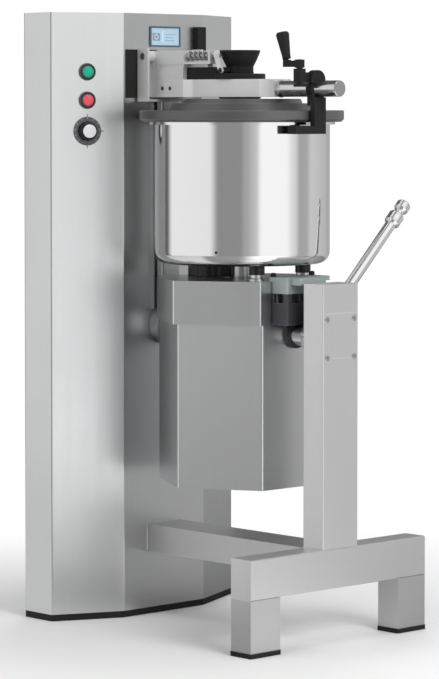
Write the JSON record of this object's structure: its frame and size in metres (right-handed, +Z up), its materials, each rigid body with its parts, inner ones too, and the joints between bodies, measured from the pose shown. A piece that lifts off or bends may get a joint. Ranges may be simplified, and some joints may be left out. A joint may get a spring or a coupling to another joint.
{
  "type": "meat bowl cutter",
  "caption": "Free-standing vertical bowl cutter: cabinet with controls, T-frame, tilting motor casing with bowl and lever, hinged lid with funnel and clamp.",
  "frame": {"origin": "on the floor, under the middle of the machine's plan", "axes": "+X from the cabinet to the T-frame, -Y towards the operator, +Z up"},
  "size_m": [0.82, 0.582, 1.4],
  "materials": {
    "stainless_sheet": "brushed stainless sheet",
    "polished_steel": "mirror-polished stainless",
    "machined_steel": "fine-turned stainless",
    "knife_steel": "ground blade steel",
    "spring_steel": "bright spring wire",
    "cast_bracket": "painted casting",
    "black_plastic": "moulded black",
    "button_bezel": "dark grey ring",
    "display_glass": "pale blue display behind a flat lens",
    "green_plastic": "moulded green",
    "red_plastic": "moulded red",
    "motor_paint": "grey enamel",
    "black_rubber": "moulded rubber",
    "bronze": "turned bronze",
    "lid_grey": "dark grey turned lid"
  },
  "bodies": {
    "frame": {"cabinet_shell": "stainless_sheet", "cabinet_plinth": "black_plastic", "service_panel": "stainless_sheet", "cover_screws": "machined_steel", "display_bezel": "black_plastic", "display_lens": "display_glass", "lid_sensor": "black_plastic", "rub_pad": "black_plastic", "button_bezels": "button_bezel", "switch_gear": "black_plastic", "dial_plate": "black_plastic", "electrics_tray": "stainless_sheet", "speed_inverter": "motor_paint", "cross_beam": "stainless_sheet", "frame_legs": "stainless_sheet", "rubber_feet": "black_rubber", "floor_spar": "stainless_sheet", "trunnion_post": "stainless_sheet", "post_bearing": "machined_steel", "cabinet_bearing": "machined_steel"},
    "start_button": {"start_button": "green_plastic"},
    "stop_button": {"stop_button": "red_plastic"},
    "speed_knob": {"speed_knob": "black_plastic", "knob_cap": "polished_steel"},
    "tilt_unit": {"motor_casing": "stainless_sheet", "casing_hood": "stainless_sheet", "motor_plate": "machined_steel", "drive_motor": "motor_paint", "shaft_bearing": "machined_steel", "bowl": "polished_steel", "tube_bush": "bronze", "main_buffers": "black_rubber", "small_buffers": "black_rubber", "left_trunnion": "polished_steel", "lid_riser": "machined_steel", "hinge_fork": "machined_steel", "hinge_pin": "machined_steel", "trunnion_casting": "cast_bracket", "right_trunnion": "polished_steel", "lever_hub": "machined_steel", "tilt_lever": "polished_steel"},
    "knife_rotor": {"knife_shaft": "machined_steel", "knife_bell": "machined_steel", "lower_knives": "knife_steel", "upper_knives": "knife_steel", "knife_nut": "machined_steel"},
    "lid": {"lid_disc": "lid_grey", "lid_seal": "black_rubber", "lid_arm": "machined_steel", "arm_tube": "polished_steel", "tube_cap": "polished_steel", "arm_root": "stainless_sheet", "feed_funnel": "black_plastic", "latch_housing": "black_plastic", "latch_spring": "spring_steel"},
    "latch_rod": {"latch_rod": "machined_steel"},
    "thumb_lever": {"thumb_lever": "machined_steel"},
    "clamp": {"clamp_body": "black_plastic"},
    "crank": {"clamp_crank": "black_plastic"},
    "crank_grip": {"crank_grip": "black_plastic"}
  },
  "joints": [
    {"name": "start_press", "type": "slide", "parent": "frame", "child": "start_button", "axis": [-0.9119, 0.4104, 0], "range_m": [0, 0.004], "stiffness_N_per_m": 600, "springref_m": -0.002},
    {"name": "stop_press", "type": "slide", "parent": "frame", "child": "stop_button", "axis": [-0.9119, 0.4104, 0], "range_m": [0, 0.004], "stiffness_N_per_m": 600, "springref_m": -0.002},
    {"name": "speed_turn", "type": "hinge", "parent": "frame", "child": "speed_knob", "pos_m": [-0.207, -0.205, 1.128], "axis": [0.9119, -0.4104, 0], "range_deg": [-135, 135]},
    {"name": "bowl_tilt", "type": "hinge", "parent": "frame", "child": "tilt_unit", "pos_m": [0.092, 0, 0.676], "axis": [1, 0, 0], "range_deg": [0, 95]},
    {"name": "knife_spin", "type": "hinge", "parent": "tilt_unit", "child": "knife_rotor", "pos_m": [0.092, 0, 0.9], "axis": [0, 0, 1], "continuous": true},
    {"name": "lid_lift", "type": "hinge", "parent": "tilt_unit", "child": "lid", "pos_m": [-0.148, 0, 1.3], "axis": [0, -1, 0], "range_deg": [0, 75]},
    {"name": "latch_pull", "type": "slide", "parent": "lid", "child": "latch_rod", "axis": [1, 0, 0], "range_m": [0, 0.008], "stiffness_N_per_m": 900, "springref_m": -0.003},
    {"name": "thumb_press", "type": "hinge", "parent": "lid", "child": "thumb_lever", "pos_m": [0.0818, -0.055, 1.266], "axis": [0, 1, 0], "range_deg": [0, 15]},
    {"name": "clamp_slide", "type": "slide", "parent": "lid", "child": "clamp", "axis": [1, 0, 0], "range_m": [-0.005, 0.04]},
    {"name": "crank_turn", "type": "hinge", "parent": "clamp", "child": "crank", "pos_m": [0.317, -0.038, 1.28], "axis": [0, 0, 1], "range_deg": [0, 180]},
    {"name": "grip_spin", "type": "hinge", "parent": "crank", "child": "crank_grip", "pos_m": [0.277, -0.038, 1.288], "axis": [-0.2419, 0, 0.9703], "continuous": true}
  ],
  "couplings": [
    {"joint": "thumb_press", "follows": "latch_pull", "rad_per_m": 31.8}
  ]
}
